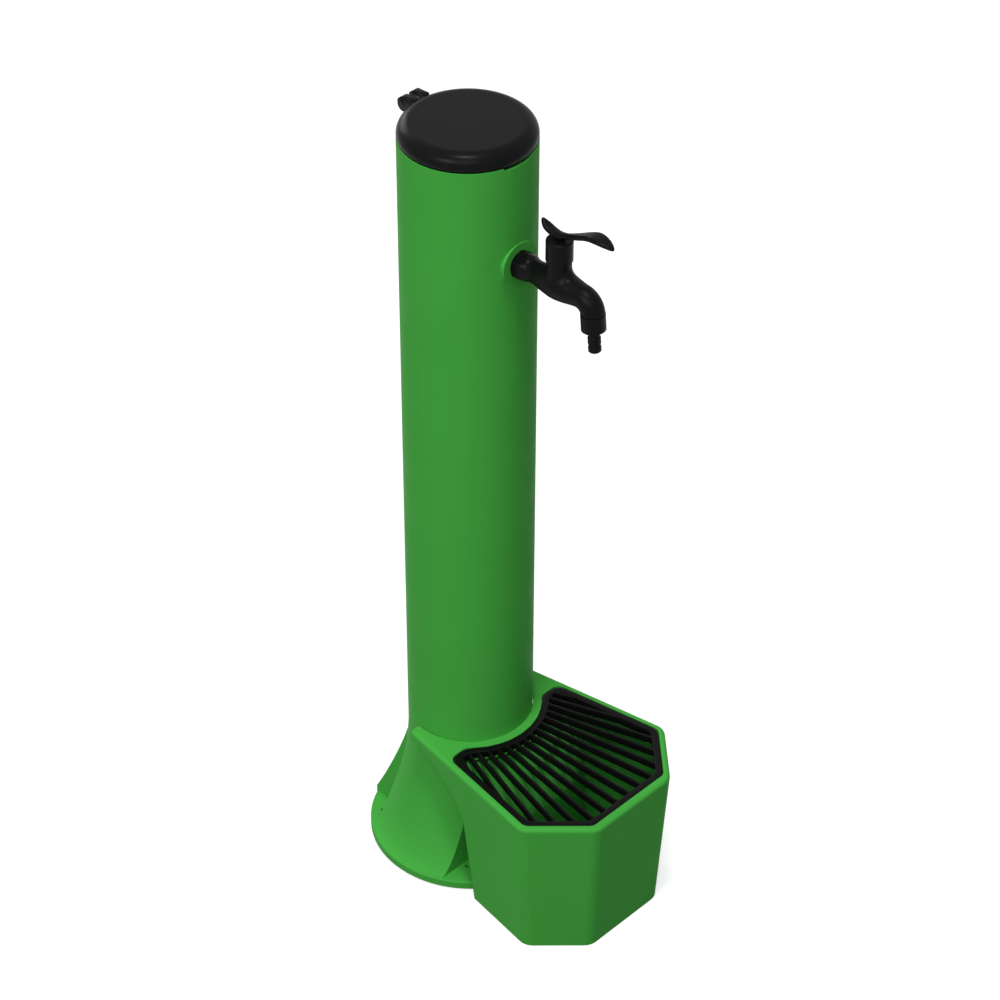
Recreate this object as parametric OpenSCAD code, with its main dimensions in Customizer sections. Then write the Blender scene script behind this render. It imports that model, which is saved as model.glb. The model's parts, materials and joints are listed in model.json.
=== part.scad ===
// Garden fountain with a bucket: a standing column with a tap, a hinged lid,
// a bucket that hugs the column's foot and a grille that lies in the bucket.
// Millimetres, +Z up. The origin is on the column's axis at floor level and -Y is the front.

/* [Column] */
// Height of the column's rim above the floor
column_h = 982; // [900:1:1100]
// Outer radius of the column at its rim
column_top_r = 76.2; // [75:0.1:78]
// Outer radius of the column just above the foot
column_low_r = 74.6; // [72:0.1:76]
// Wall of the column and of its foot
wall = 4; // [3:0.1:5]
// Half angle of the finger notch in the rim
notch_angle = 16; // [10:1:20]
// Depth of the finger notch
notch_d = 3.2; // [3:0.1:6]

/* [Foot] */
// Radius of the round flange
flange_r = 123.4; // [120:0.1:128]
// Thickness of the flange at its edge
flange_h = 12.8; // [10:0.1:15]
// Thickness of the foot's floor inside
floor_t = 6; // [4:0.1:8]
// Height at which the foot has run into the column
flare_h = 172; // [160:1:185]
// Fullness of the foot's curve
flare_n = 1.6; // [1.4:0.05:2]
// Radius of the opening in the foot's floor for a supply pipe
entry_r = 58; // [45:1:62]
// Radius of the screw holes
screw_hole_r = 3; // [2:0.1:4]
// Distance between the screw holes, side to side
screw_x = 142; // [138:0.5:148]
// Distance between the screw holes, front to rear
screw_y = 144; // [140:0.5:146]
// How far the middle of the screw holes lies behind the axis
screw_shift = 9.5; // [8:0.5:11]
// Half width between the front screw pockets
front_pocket_x = 58; // [54:0.5:60]
// Distance from the axis to the front pockets
front_pocket_y = 55.5; // [52:0.5:57]
// Distance from the axis to the rear pockets
rear_pocket_y = 73; // [70:0.5:76]

/* [Rear housing] */
// Half width of the housing for the inlet
housing_x = 51.8; // [48:0.1:54]
// Where the housing leaves the column, behind the axis
housing_top_y = 56; // [54:0.5:60]
// Where the housing meets the flange, behind the axis
housing_foot_y = 118; // [114:0.5:119]
// Height of the housing
housing_h = 150; // [140:1:165]
// Fullness of the housing's slope
housing_n = 1.1; // [1.05:0.05:1.5]
// Half width of the niche round the inlet
niche_x = 26; // [24:0.5:30]
// Distance from the axis to the niche's back wall
niche_y = 78; // [77:0.5:82]
// Height of the niche's floor
niche_z = 26; // [22:0.5:30]
// Height of the inlet's axis
inlet_z = 52; // [50:0.5:56]

/* [Lid] */
// Height of the lid above the rim
lid_h = 20; // [17:0.5:24]
// Radius of the lid's rounded edge
lid_round = 15; // [8:0.5:16]
// Radius of the dished middle of the lid
dish_r = 46; // [40:0.5:54]
// Depth of the dished middle
dish_d = 1.6; // [1:0.1:3]
// Thickness of the lid's top
lid_t = 3; // [2.5:0.1:4]
// Depth of the collar that reaches into the column
collar_d = 9; // [6:0.5:14]
// Thickness of that collar
collar_t = 3; // [2:0.1:4]

/* [Hinge] */
// Radius of the hinge pin
hinge_pin_r = 2; // [1.5:0.1:2.5]
// Radius of the lid's knuckles
knuckle_r = 8; // [7:0.1:8.5]
// Distance from the column's wall to the pin's axis
hinge_out = 7.8; // [7.5:0.1:10]
// Height of the pin's axis above the rim
hinge_up = 10; // [9.5:0.1:10.5]
// Width of the column's middle knuckle
mid_knuckle_w = 5.8; // [5:0.1:8]
// Radius of the column's middle knuckle
mid_knuckle_r = 4.4; // [4:0.1:5]
// Width over the lid's two knuckles
hinge_w = 27.6; // [24:0.1:32]

/* [Tap] */
// Height of the tap's axis
tap_z = 857; // [800:1:890]
// Radius of the flat boss that carries the tap
boss_r = 25; // [22:0.5:30]
// Distance from the column's axis to the boss's face
boss_y = 77; // [76.8:0.1:80]
// Radius of the boss inside the column
inner_boss_r = 21; // [18:0.5:24]
// Distance from the column's axis to the inner boss's face
inner_boss_y = 67; // [64:0.5:69]
// Radius of the tap's threaded shank
shank_r = 10.4; // [10:0.1:11]
// Length of shank inside the column, from the inner boss
shank_in = 21; // [20:0.5:24]
// Width across the flats of the tap's collar
collar_af = 30; // [26:0.5:34]
// Length of the tap's collar, with the slope that rounds it off
collar_len = 19; // [14:0.5:22]
// Radius of the inlet tube
inlet_tube_r = 13.4; // [12.5:0.1:14]
// Radius of the round belly under the valve
belly_r = 17.6; // [16.5:0.1:18.5]
// Distance from the column's axis to the valve's axis
valve_y = 133.6; // [130:0.2:142]
// Radius of the valve's neck
neck_r = 13.7; // [13:0.1:15]
// Height of the neck above the tap's axis
neck_up = 31; // [27:0.5:33]
// Radius of the spout tube
spout_r = 13.4; // [12.5:0.1:13.5]
// Distance from the column's axis to the start of the spout's bend
spout_y = 166; // [165:0.5:172]
// Bend of the spout at its middle line
spout_bend = 16.5; // [15:0.5:20]
// Forward lean of the outlet, in degrees
outlet_lean = 5; // [0:0.5:8]
// Radius of the water way
water_r = 5.6; // [4:0.1:6]
// Turn of the handle between open and shut
handle_turn = 90; // [60:1:90]

/* [Valve] */
// Radius of the barrel that takes the cartridge
barrel_r = 10; // [9:0.1:10.5]
// Height of the cartridge's seat above the tap's axis
seat_up = 1.5; // [1:0.1:2.5]
// Thickness of the rubber ring under the discs
seal_t = 2; // [1.5:0.1:2.5]
// Thickness of each ceramic disc
disc_t = 3; // [2.5:0.1:3.5]
// Radius of the spindle
stem_r = 4; // [3.5:0.1:4.5]
// Height of the bonnet above the neck
bonnet_h = 25.3; // [22:0.1:30]
// Outer radius of the bonnet
bonnet_r = 14.9; // [14:0.1:16]
// Radius of the bonnet's rounded top edge
bonnet_round = 2; // [1:0.1:3]

/* [Handle] */
// Thickness of the lever
blade_t = 3.2; // [2.5:0.1:4.5]
// Reach of the lever's front end from the spindle
lever_front = 75.2; // [60:0.1:90]
// Reach of the lever's rear end from the spindle
lever_rear = 24.4; // [20:0.1:30]
// Half width of the lever at its widest place
lever_w = 8.8; // [7:0.1:12]
// Height of the lever's lowest place above the bonnet
lever_up = 6.5; // [5.5:0.1:9]
// Radius of the hub
hub_r = 5.6; // [5.2:0.1:7]

/* [Outlet] */
// Radius of the outlet nut
outlet_nut_r = 13.7; // [13.2:0.1:15]
// Height of the outlet nut
outlet_nut_h = 19; // [18:0.5:24]
// Radius of the outlet's thread
outlet_thread_r = 10.4; // [10:0.1:10.8]
// Radius of the hose stub
stub_r = 7.2; // [6.6:0.1:8]
// Length of the hose stub
stub_len = 23.8; // [21:0.1:28]
// Radius of the stub's grooves
groove_r = 6.2; // [5:0.1:6.4]

/* [Supply hose] */
// Outer radius of the hose inside the column
hose_r = 8; // [7:0.1:9]
// Bore radius of that hose
hose_bore_r = 6; // [5:0.1:6.5]
// Bend radius of that hose
hose_bend = 32; // [30:0.5:33]
// Distance of the rising hose behind the axis
hose_y = 11; // [10:0.5:11.5]

/* [Bucket] */
// Height of the bucket
bucket_h = 196; // [180:1:215]
// Distance from the column's axis to the front face
bucket_front = 264.2; // [240:0.5:300]
// Distance from the column's axis to the widest place
shoulder_y = 200.2; // [185:0.5:210]
// Width at the widest place
shoulder_w = 248; // [236:0.5:262]
// Width of the front face
front_w = 124.6; // [100:0.5:140]
// Width over the ends of the arms
tail_w = 179.2; // [174:0.5:186]
// How far the arms reach behind the column's axis
tail_y = 12; // [4:0.5:14]
// Inward slope of the walls towards the floor, in degrees
draft = 3.3; // [2:0.1:4]
// Radius of the upright corners
corner_r = 19; // [14:0.5:24]
// Radius of the rounded rim
rim_round = 4.5; // [2:0.1:5]
// Wall of the bucket
bucket_wall = 3.5; // [2.5:0.1:4.5]
// Gap between the column and the bucket's arms
arm_gap = 1.2; // [1.1:0.1:3]
// Radius of the hollow back of the bucket at the floor
back_low_r = 138.4; // [134:0.2:144]
// Radius of the hollow back where it starts to lean forward
back_mid_r = 133.3; // [128:0.1:136]
// Height at which the hollow back starts to lean
back_mid_h = 115; // [105:1:125]
// Fullness of the leaning back
back_n = 1.4; // [1.3:0.05:1.6]
// Thickness of the arms at the column
arm_t = 4; // [3:0.1:6]
// Travel of the bucket when it is pulled off
bucket_travel = 150; // [120:5:300]

/* [Grille] */
// Width of the rim at the sides of the grille
rim_w = 8; // [7.5:0.1:10]
// Width of the rim in front of the grille
front_rim_w = 9.8; // [8:0.1:12]
// Height of the grille's frame and bars
grille_t = 10.4; // [6:0.1:12]
// Play round the grille
grille_gap = 0.5; // [0.3:0.1:1]
// Width of the ledge under the grille
ledge_w = 4; // [3:0.1:6]
// Width of the grille's frame
frame_w = 8.2; // [6:0.1:12]
// Width of the frame along the column
rear_band = 7; // [5:0.1:9]
// Distance from the column's axis to the grille's rear ends
grille_rear_y = 56; // [50:0.5:62]
// Radius of the grille's hollow rear edge
grille_back_r = 86; // [84:0.1:90]
// Radius of the grille's corners
grille_corner_r = 12; // [8:0.5:13]
// Distance behind the axis of the point that the bars run from
fan_y = 123.5; // [110:0.5:170]
// Angle from one slot to the next
fan_step = 3.12; // [2.9:0.01:4]
// Width of a bar
bar_w = 3.2; // [2.4:0.1:6]

/* [Hidden] */
$fn = 96;

// Radial play of a part that turns or slides
run = 0.05;
// Gap between pieces that only pass each other
clear = 0.3;
// Overshoot of a cutting shape
eps = 1;
// Thickness of the flat washers
washer_t = 1.5;
// Steps in a swept curve
curve_steps = 14;

hinge_y = column_top_r + hinge_out - 1;
hinge_z = column_h + hinge_up;
lid_bottom = column_h + clear;
lid_top = column_h + lid_h;
bore_top_r = column_top_r - wall;
bore_low_r = column_low_r - wall;
collar_r = bore_top_r - 1;

seat_z = tap_z + seat_up;
fixed_z = seat_z + seal_t;
turning_z = fixed_z + disc_t + run;
foot_z = turning_z + disc_t;
neck_z = tap_z + neck_up;
plug_d = 6;
cartridge_top = neck_z - plug_d;
bonnet_top = neck_z + bonnet_h;
sleeve_r = barrel_r - 1.3;
seat_port_r = 4.6;
chamber_z = tap_z - 13;
inlet_way = 16;
inlet_slope_r = 3.6;
outlet_slope_r = 4.5;
foot_t = 3;
foot_core_r = 5.2;
stop_angle = 12;
wing_angle = 2 * (90 - stop_angle / 2 - 2) - handle_turn;
lever_z = bonnet_top + lever_up;
gasket_seat = boss_y - washer_t;
gasket_r = 15;
collar_end = boss_y + collar_len;
shank_end = inner_boss_y - shank_in;

outlet_y = spout_y + spout_bend * cos(outlet_lean);
outlet_z = tap_z - spout_bend + spout_bend * sin(outlet_lean);
outlet_seat = -12;
outlet_cone = 3.5;
stub_low = -outlet_nut_h - outlet_cone - stub_len;
outlet_bore_r = 5;
stub_bore_r = 4;

nut_t = 8;
nut_af = 27;
back_nut_y = inner_boss_y - washer_t - nut_t;
union_len = 14;
union_front = back_nut_y - 1;
union_seat = shank_end - washer_t;
tail_len = 16;
tail_ring = 0.05;

inlet_wall = niche_y - wall;
inlet_flange_t = 7;
inlet_hose_y = inlet_wall - inlet_flange_t - 5;
inlet_out = niche_y + washer_t + nut_t;

back_high = bucket_h - arm_t;
column_at_rim = column_low_r + (column_top_r - column_low_r) * (bucket_h - flare_h) / (column_h - flare_h);
back_top_r = column_at_rim + arm_gap;
back_shift = arm_gap - run;
plate_t = grille_t + ledge_w;
draft_in = bucket_h * tan(draft);
grille_z = bucket_h - grille_t;

green = "forestgreen";
black = "#202122";

// Curve that leaves [r_in, z_high] upright and arrives at [r_out, z_low] level
function trumpet(r_in, r_out, z_low, z_high, n) = [
    for (i = [0 : curve_steps])
        let (a = 90 * i / curve_steps)
        [r_out - (r_out - r_in) * pow(cos(a), 2 / n), z_high - (z_high - z_low) * pow(sin(a), 2 / n)]
];

// Curve that leaves [r_in, z_high] level and arrives at [r_out, z_low] upright
function shoulder(r_in, r_out, z_low, z_high, n) = [
    for (i = [0 : curve_steps])
        let (a = 90 * i / curve_steps)
        [r_in + (r_out - r_in) * pow(sin(a), 2 / n), z_low + (z_high - z_low) * pow(cos(a), 2 / n)]
];

// Round arc about [x, y] from angle a to angle b
function arc(x, y, r, a, b, steps = 8) = [
    for (i = [0 : steps]) [x + r * cos(a + (b - a) * i / steps), y + r * sin(a + (b - a) * i / steps)]
];

function reverse(points) = [for (i = [len(points) - 1 : -1 : 0]) points[i]];

// Smooth curve through a few points, three steps to a stretch
function smooth(p, steps = 4) = concat(
    [
        for (i = [0 : len(p) - 2], j = [0 : steps - 1])
            let (
                t = j / steps,
                a = p[max(i - 1, 0)],
                b = p[i],
                c = p[i + 1],
                d = p[min(i + 2, len(p) - 1)]
            )
            0.5 * (2 * b + (c - a) * t + (2 * a - 5 * b + 4 * c - d) * t * t
                + (3 * b - a - 3 * c + d) * t * t * t)
    ],
    [p[len(p) - 1]]
);

// Cylinder along Y from y0 to y1 at height z
module along_y(r, y0, y1, z, x = 0) {
    translate([x, y1, z]) rotate([90, 0, 0]) cylinder(r = r, h = y1 - y0);
}

// Ring along Y
module ring_y(r_out, r_in, y0, y1, z) {
    difference() {
        along_y(r_out, y0, y1, z);
        along_y(r_in, y0 - eps, y1 + eps, z);
    }
}

// Ring along Z
module ring_z(r_out, r_in, z0, z1) {
    translate([0, 0, z0]) difference() {
        cylinder(r = r_out, h = z1 - z0);
        translate([0, 0, -eps]) cylinder(r = r_in, h = z1 - z0 + 2 * eps);
    }
}

// Hexagon along Y, with a flat on each side
module hex_y(af, y0, y1, z) {
    translate([0, y1, z]) rotate([90, 0, 0]) rotate([0, 0, 30])
        cylinder(r = af / sqrt(3), h = y1 - y0, $fn = 6);
}

// Outline drawn in the front-to-rear plane and spread sideways, front towards -Y
module across(width) {
    translate([width / 2, 0, 0]) rotate([90, 0, -90]) linear_extrude(width) children();
}

// Shapes that stand on the valve's axis
module at_valve() {
    translate([0, -valve_y, 0]) children();
}

// Shapes that hang on the outlet's leaning axis, below the end of the spout's bend
module at_outlet() {
    translate([0, -outlet_y, outlet_z]) rotate([-outlet_lean, 0, 0]) children();
}

module column_outside() {
    rotate_extrude($fn = 128) polygon(concat(
        [[0, 0], [flange_r - 2.4, 0], [flange_r, 3], [flange_r, flange_h - 1.2], [flange_r - 1.2, flange_h]],
        reverse(trumpet(column_low_r, flange_r - 2, flange_h, flare_h, flare_n)),
        [[column_top_r, column_h], [0, column_h]]
    ));
    housing(housing_x, 0);
    along_y(boss_r, -boss_y, -column_low_r + 15, tap_z);
}

// Slope of the rear housing, kept within the round flange
module housing(half_width, inset) {
    intersection() {
        across(2 * half_width) polygon(concat(
            [[0, floor_t * sign(inset)], [-housing_foot_y + 3 * inset, floor_t * sign(inset)]],
            [for (p = reverse(trumpet(housing_top_y - inset, housing_foot_y - 2 * inset,
                flange_h - 2 * inset, housing_h - inset, housing_n))) [-p[0], p[1]]],
            [[0, housing_h - inset]]
        ));
        cylinder(r = flange_r - 2 * inset, h = housing_h);
    }
}

// The hollow inside the column, without what the pockets and the niche take from it
module column_inside() {
    rotate_extrude($fn = 128) polygon(concat(
        [[0, -eps], [entry_r, -eps], [entry_r, floor_t]],
        reverse(trumpet(bore_low_r, flange_r - 2 - 3 * wall, floor_t, flare_h, flare_n)),
        [[bore_top_r, column_h], [bore_top_r, column_h + eps], [0, column_h + eps]]
    ));
    housing(housing_x - wall, wall);
}

// Spaces over the four screws, grown by a wall thickness where asked
module screw_pockets(grow) {
    for (side = [-1, 1]) {
        translate([side * (front_pocket_x - grow + flange_r / 2), -front_pocket_y + grow - flange_r / 2,
            flange_h - grow + housing_h / 2])
            cube([flange_r, flange_r, housing_h], center = true);
        translate([side * (housing_x - grow + flange_r / 2), rear_pocket_y - grow + flange_r / 2,
            flange_h - grow + housing_h / 2])
            cube([flange_r, flange_r, housing_h], center = true);
    }
}

module inlet_niche(grow) {
    translate([-niche_x - grow, niche_y - grow, niche_z - grow])
        cube([2 * (niche_x + grow), flange_r, housing_h]);
}

module screw_holes() {
    for (x = [-1, 1], y = [-1, 1])
        translate([x * screw_x / 2, screw_shift + y * screw_y / 2, -eps])
            cylinder(r = screw_hole_r, h = flange_h + 2 * eps, $fn = 32);
}

// Rounded shape of the finger notch, between two distances in front of the axis
module notch_shape(inset, y0, y1) {
    half = column_top_r * sin(notch_angle) - inset;
    round_r = notch_d - inset;
    translate([0, -y0, column_h]) rotate([90, 0, 0]) linear_extrude(y1 - y0) polygon(concat(
        [[-half, eps]],
        arc(-half + round_r, 0, round_r, 180, 270, 6),
        arc(half - round_r, 0, round_r, 270, 360, 6),
        [[half, eps]]
    ));
}

// Web and middle knuckle of the lid's hinge
module column_knuckle() {
    across(mid_knuckle_w) polygon(concat(
        [[-column_top_r + wall, column_h - 24], [-column_top_r + 0.3, column_h - 24]],
        arc(-hinge_y, hinge_z, mid_knuckle_r, 195, 360, 12),
        [[-column_top_r - 0.6, column_h - 0.4], [-column_top_r + wall, column_h - 0.4]]
    ));
    translate([mid_knuckle_w / 2, hinge_y, hinge_z]) rotate([0, -90, 0])
        cylinder(r = mid_knuckle_r, h = mid_knuckle_w);
}

module column_body() {
    color(green) difference() {
        union() {
            difference() {
                column_outside();
                screw_pockets(0);
                inlet_niche(0);
                difference() {
                    column_inside();
                    difference() {
                        union() {
                            screw_pockets(wall);
                            inlet_niche(wall);
                        }
                        cylinder(r = bore_low_r - 2, h = column_h);
                    }
                    along_y(inner_boss_r, -boss_y, -inner_boss_y, tap_z);
                }
                notch_shape(0, 0.8 * bore_top_r, column_top_r + eps);
            }
            column_knuckle();
        }
        screw_holes();
        along_y(shank_r + clear, -boss_y - eps, -inner_boss_y + eps, tap_z);
        along_y(gasket_r + clear, -boss_y - eps, -gasket_seat, tap_z);
        along_y(shank_r + clear, inlet_wall - eps, niche_y + eps, inlet_z);
        translate([hinge_w, hinge_y, hinge_z]) rotate([0, -90, 0])
            cylinder(r = hinge_pin_r, h = 2 * hinge_w, $fn = 32);
    }
}

// The pin stops inside the left lug and ends flush with the right one
module hinge_pin() {
    color("silver") translate([hinge_w / 2 - 0.2, hinge_y, hinge_z]) rotate([0, -90, 0])
        cylinder(r = hinge_pin_r, h = hinge_w - 2.2, $fn = 32);
}

module lid() {
    edge_z = lid_top - lid_round;
    edge_r = column_top_r - lid_round;
    color(black) difference() {
        union() {
            rotate_extrude($fn = 128) polygon(concat(
                [[collar_r - collar_t, lid_bottom - collar_d], [collar_r, lid_bottom - collar_d], [collar_r, lid_bottom],
                 [column_top_r, lid_bottom]],
                arc(edge_r, edge_z, lid_round, 0, 90, 12),
                [for (i = [1 : 8]) [edge_r + (dish_r - edge_r) * i / 8, lid_top - dish_d * (1 - cos(22.5 * i)) / 2]],
                [[0, lid_top - dish_d], [0, lid_top - dish_d - lid_t], [collar_r - collar_t, lid_top - dish_d - lid_t]]
            ));
            lid_lugs();
            lid_tongue();
        }
        translate([hinge_w, hinge_y, hinge_z]) rotate([0, -90, 0])
            cylinder(r = hinge_pin_r + run, h = 1.5 * hinge_w - 1.9, $fn = 32);
        lug_gap();
    }
}

// Two upright lugs that reach back from the lid's edge over the pin, with a bridge between them
module lid_lugs() {
    lug_w = (hinge_w - mid_knuckle_w) / 2 - 0.5;
    corner = 5.5;
    for (side = [-1, 1]) translate([side * (hinge_w - lug_w) / 2, 0, 0]) across(lug_w) polygon(concat(
        [[-column_top_r + 5, lid_bottom + 1.2], [-column_top_r, lid_bottom + 1.2]],
        arc(-hinge_y, hinge_z, knuckle_r, 300, 180, 16),
        arc(-hinge_y - knuckle_r + corner, hinge_z + knuckle_r - corner, corner, 180, 90, 6),
        [[-column_top_r + 6, hinge_z + knuckle_r + 0.6]]
    ));
    bridge_r = knuckle_r - 1.2;
    across(mid_knuckle_w + 2) polygon(concat(
        arc(-hinge_y, hinge_z, mid_knuckle_r, 0, 135, 10),
        arc(-hinge_y, hinge_z, bridge_r, 135, 90, 6),
        [[-column_top_r + 6, hinge_z + bridge_r], [-column_top_r + 6, hinge_z]]
    ));
}

// Room between the lugs for the column's middle knuckle
module lug_gap() {
    translate([0, hinge_y, hinge_z]) rotate([0, 90, 0])
        cylinder(r = mid_knuckle_r + 2 * clear, h = mid_knuckle_w + 1, center = true);
}

// Tongue under the lid's edge that fills the finger notch
module lid_tongue() {
    intersection() {
        notch_shape(2 * clear, 0.8 * bore_top_r, column_top_r);
        translate([0, 0, column_h - notch_d])
            ring_z(column_top_r - 1.8, collar_r - eps, 0, notch_d + clear + eps);
    }
}

module tap_gasket() {
    color(black) ring_y(gasket_r, shank_r + run, -boss_y, -gasket_seat, tap_z);
}

// The bend of the spout, as a solid of the given radius
module spout_elbow(r) {
    translate([0, -spout_y, tap_z - spout_bend]) rotate([0, -90, 0]) rotate([0, 0, outlet_lean - 90])
        rotate_extrude(angle = 90 - outlet_lean) translate([spout_bend, 0]) circle(r = r);
}

// Round bore in the middle plane from [y0, z0] to [y1, z1]
module sloping_bore(r, y0, z0, y1, z1) {
    translate([0, y0, z0]) rotate([atan2(y0 - y1, z1 - z0), 0, 0])
        cylinder(r = r, h = norm([y1 - y0, z1 - z0]));
}

// Half profile of the tap from the collar to the spout's bend: [distance in front of the valve, radius]
function tap_profile() = smooth([
    [boss_y + 6 - valve_y, inlet_tube_r + 1], [-36, inlet_tube_r + 0.2], [-30, inlet_tube_r],
    [-16.6, belly_r - 1.9], [-1, belly_r], [11.9, belly_r - 0.9], [23, belly_r - 2.8],
    [spout_y - valve_y, spout_r]
]);

// Hexagonal collar that slopes into the round tube
module tap_collar() {
    intersection() {
        hex_y(collar_af, -collar_end, -boss_y, tap_z);
        translate([0, -collar_end, tap_z]) rotate([-90, 0, 0])
            cylinder(r1 = inlet_tube_r + 0.3, r2 = inlet_tube_r + 8.5, h = collar_len);
    }
}

// Ball, cone and ball between the valve's neck and the spout
module neck_blend() {
    back = [-valve_y, tap_z + 14.5];
    front = [-valve_y - 15.4, tap_z + 0.5];
    tilt = atan2(back[0] - front[0], back[1] - front[1]);
    translate([0, back[0], back[1]]) sphere(r = neck_r + 0.4);
    translate([0, front[0], front[1]]) sphere(r = belly_r - 2.4);
    translate([0, front[0], front[1]]) rotate([-tilt, 0, 0])
        cylinder(r1 = belly_r - 2.4, r2 = neck_r + 0.4, h = norm(back - front));
}

module tap_body() {
    color(black) difference() {
        union() {
            along_y(shank_r, -boss_y - eps, -shank_end, tap_z);
            tap_collar();
            translate([0, -valve_y, tap_z]) rotate([90, 0, 0]) rotate_extrude() polygon(concat(
                [[0, boss_y + 6 - valve_y]],
                [for (p = tap_profile()) [p[1], p[0]]],
                [[0, spout_y - valve_y]]
            ));
            at_valve() translate([0, 0, tap_z]) cylinder(r = neck_r, h = neck_up);
            neck_blend();
            spout_elbow(spout_r);
            at_outlet() translate([0, 0, outlet_seat]) cylinder(r = outlet_thread_r, h = eps - outlet_seat);
        }
        along_y(water_r, inlet_way - valve_y, -shank_end + eps, tap_z);
        sloping_bore(inlet_slope_r, inlet_way + 1 - valve_y, tap_z - 0.5, -valve_y, chamber_z + 2);
        at_valve() translate([0, 0, chamber_z]) cylinder(r = seat_port_r, h = seat_z - chamber_z + eps);
        at_valve() translate([0, 0, seat_z]) cylinder(r = barrel_r, h = neck_up + 10);
        sloping_bore(outlet_slope_r, -valve_y - 6, seat_z + 8, -valve_y - 28, tap_z - 0.5);
        along_y(water_r, -spout_y, -valve_y - 26, tap_z);
        spout_elbow(water_r);
        at_outlet() translate([0, 0, outlet_seat - eps])
            cylinder(r = outlet_bore_r, h = 2 * eps - outlet_seat);
    }
}

module back_washer() {
    color(black) ring_y(17, shank_r + run, -inner_boss_y, -inner_boss_y + washer_t, tap_z);
}

module back_nut() {
    color("white") difference() {
        hex_y(nut_af, -inner_boss_y + washer_t, -back_nut_y, tap_z);
        along_y(shank_r + run, -inner_boss_y, -back_nut_y + eps, tap_z);
    }
}

module bonnet() {
    color(black) at_valve() difference() {
        rotate_extrude() polygon(concat(
            [[stem_r + run, cartridge_top], [barrel_r - run, cartridge_top], [barrel_r - run, neck_z],
             [bonnet_r, neck_z]],
            arc(bonnet_r - bonnet_round, bonnet_top - bonnet_round, bonnet_round, 0, 90, 6),
            [[stem_r + run, bonnet_top]]
        ));
        translate([0, 0, cartridge_top + 2]) cylinder(r = stem_r + 2 + run, h = 2 + 2 * run);
    }
}

// Two opposite sectors of a ring, the first one in the middle of angle a
module sectors(r_out, r_in, angle, a, z0, h) {
    for (turn = [a, a + 180]) rotate([0, 0, turn - angle / 2]) translate([0, 0, z0])
        rotate_extrude(angle = angle) translate([r_in, 0]) square([r_out - r_in, h]);
}

module valve_cartridge() {
    color("white") at_valve() difference() {
        union() {
            ring_z(barrel_r - run, sleeve_r, seat_z, cartridge_top - 3);
            ring_z(barrel_r - run, stem_r + run, cartridge_top - 3, cartridge_top);
            sectors(sleeve_r + 0.5, foot_core_r + clear, stop_angle, 0, foot_z, cartridge_top - foot_z - 2);
        }
        translate([-4.5, -barrel_r - eps, turning_z + 1]) cube([9, barrel_r - 4, cartridge_top - turning_z - 5]);
    }
}

module seat_seal() {
    color(black) at_valve() ring_z(sleeve_r - run, seat_port_r, seat_z, fixed_z);
}

// Ceramic disc with two quarter ports, the first one starting at angle a
module ported_disc(z, a) {
    difference() {
        translate([0, 0, z]) cylinder(r = sleeve_r - run, h = disc_t);
        sectors(sleeve_r - 2, 1.5, 78, a + 45, z - eps, disc_t + 2 * eps);
    }
}

module fixed_disc() {
    color("white") at_valve() ported_disc(fixed_z, 0);
}

module turning_disc() {
    color("white") at_valve() ported_disc(turning_z, -handle_turn);
}

module stem_seal() {
    color(black) at_valve() translate([0, 0, cartridge_top + 3 + run])
        rotate_extrude() translate([stem_r + 1 + run, 0]) circle(r = 1, $fn = 24);
}

module spindle() {
    color("goldenrod") at_valve() {
        translate([0, 0, foot_z]) cylinder(r = foot_core_r, h = foot_t);
        sectors(sleeve_r - 0.4, foot_core_r - 1, wing_angle, stop_angle / 2 + 2 + wing_angle / 2, foot_z, foot_t);
        translate([0, 0, foot_z + foot_t - eps]) cylinder(r = stem_r, h = lever_z - 5 - foot_z - foot_t + eps);
    }
}

// Top of the lever from its rear to its front end: [distance in front of the spindle, height]
function lever_top() = let (f = lever_front / 75.2, b = lever_rear / 24.4) smooth([
    [-24.4 * b, 9.6], [-18.9 * b, 4.5], [-9.7 * b, 0.7], [-1, 0], [10.8 * f, 2.9], [26.1 * f, 9.4],
    [42.3 * f, 16.7], [53 * f, 19.1], [66 * f, 17.4], [75.2 * f, 14.3]
]);

// Half width of the lever along the same way
function lever_side() = let (f = lever_front / 75.2, b = lever_rear / 24.4, w = lever_w / 8.8) smooth([
    [-24.4 * b, 1.6 * w], [-20 * b, 4.2 * w], [-14.8 * b, 5.1 * w], [-5 * b, 4.9 * w], [5 * f, 3.7 * w],
    [14 * f, 3.6 * w], [26.1 * f, 4.9 * w], [42.3 * f, 7.5 * w], [51.5 * f, lever_w], [62.9 * f, 7.1 * w],
    [72.1 * f, 3.4 * w], [75.2 * f, 1 * w]
]);

// Thickness of the lever at a distance from the spindle, thinner towards its ends
function lever_thick(d) = blade_t * (1 - 0.4 * pow(d / lever_front, 2));

module tap_handle() {
    color(black) at_valve() difference() {
        union() {
            intersection() {
                translate([0, 0, lever_z]) across(4 * lever_w) polygon(concat(
                    lever_top(),
                    reverse([for (p = lever_top()) [p[0], p[1] - lever_thick(p[0])]])
                ));
                translate([0, 0, bonnet_top]) linear_extrude(10 * blade_t) polygon(concat(
                    [for (p = lever_side()) [p[1], -p[0]]],
                    reverse([for (p = lever_side()) [-p[1], -p[0]]])
                ));
            }
            translate([0, 0, bonnet_top + clear]) cylinder(r = hub_r, h = lever_up - blade_t);
        }
        translate([0, 0, neck_z]) cylinder(r = stem_r, h = lever_z - 5 - neck_z);
    }
}

// Half profile of a hose stub from its end at height 0 up to its root
function stub_profile(length) = [
    [0, 0], [stub_r - 1.2, 0], [stub_r, 1.2], [stub_r, 6.4], [groove_r, 7.6], [groove_r, 9.1],
    [stub_r, 10.3], [stub_r, 17.7], [groove_r, 18.9], [groove_r, length], [0, length]
];

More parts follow.
